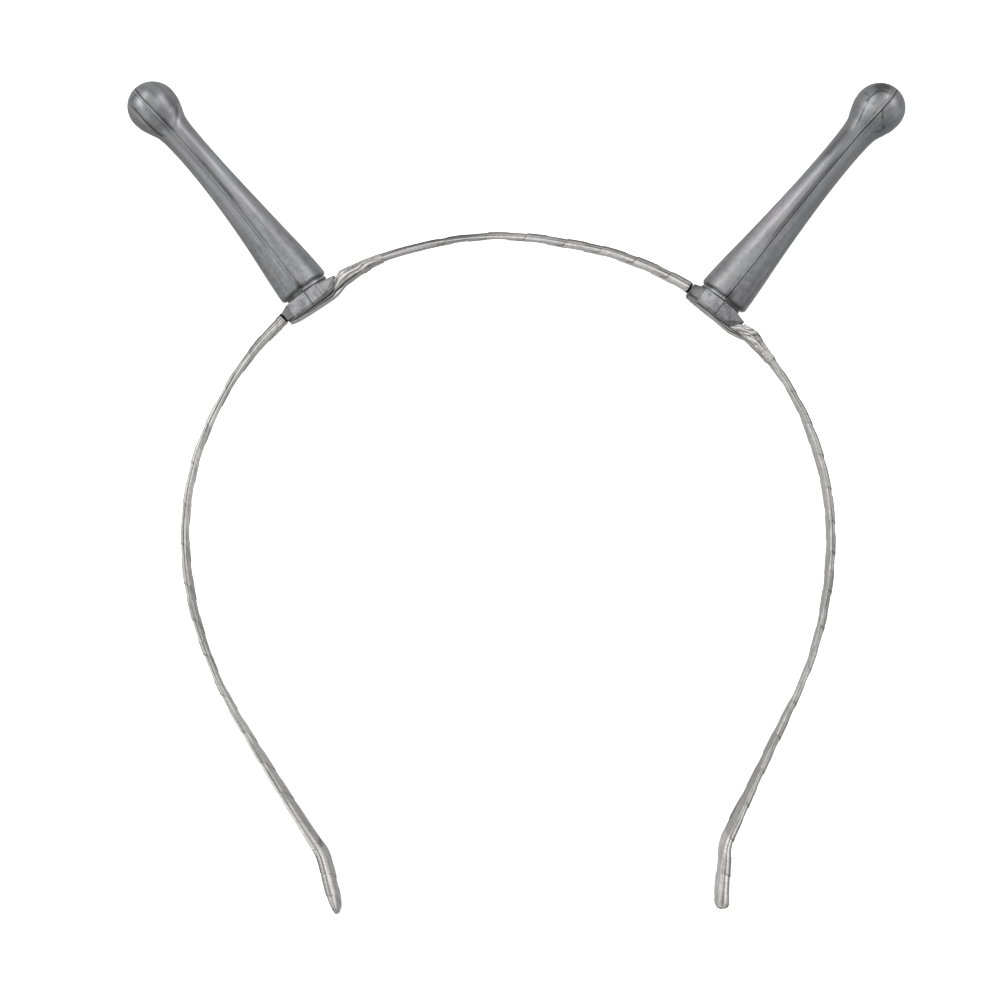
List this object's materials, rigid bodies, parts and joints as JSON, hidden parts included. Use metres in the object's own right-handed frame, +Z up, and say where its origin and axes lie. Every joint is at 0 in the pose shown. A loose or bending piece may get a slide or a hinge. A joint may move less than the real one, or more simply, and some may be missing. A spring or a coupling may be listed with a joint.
{
  "type": "antenna headband",
  "caption": "Open springy headband wound in satin ribbon, carrying ball-tipped antennas whose faceted feet clip onto the band.",
  "frame": {"origin": "middle of the bounding box on the surface the headband lies on", "axes": "+Y from the tips to the crown, +X towards the right antenna as pictured, +Z up from the surface, out of the front"},
  "size_m": [0.1552, 0.1674, 0.0111],
  "materials": {
    "strip": "dull spring steel",
    "ribbon": "satin ribbon",
    "shell": "pearly silver moulding"
  },
  "bodies": {
    "root": {"band_strip": "strip", "ribbon_left_leg": "ribbon", "ribbon_crown": "ribbon", "ribbon_right_leg": "ribbon", "left_antenna_slot_half": "shell", "left_antenna_toe_half": "shell", "right_antenna_slot_half": "shell", "right_antenna_toe_half": "shell"}
  },
  "joints": []
}
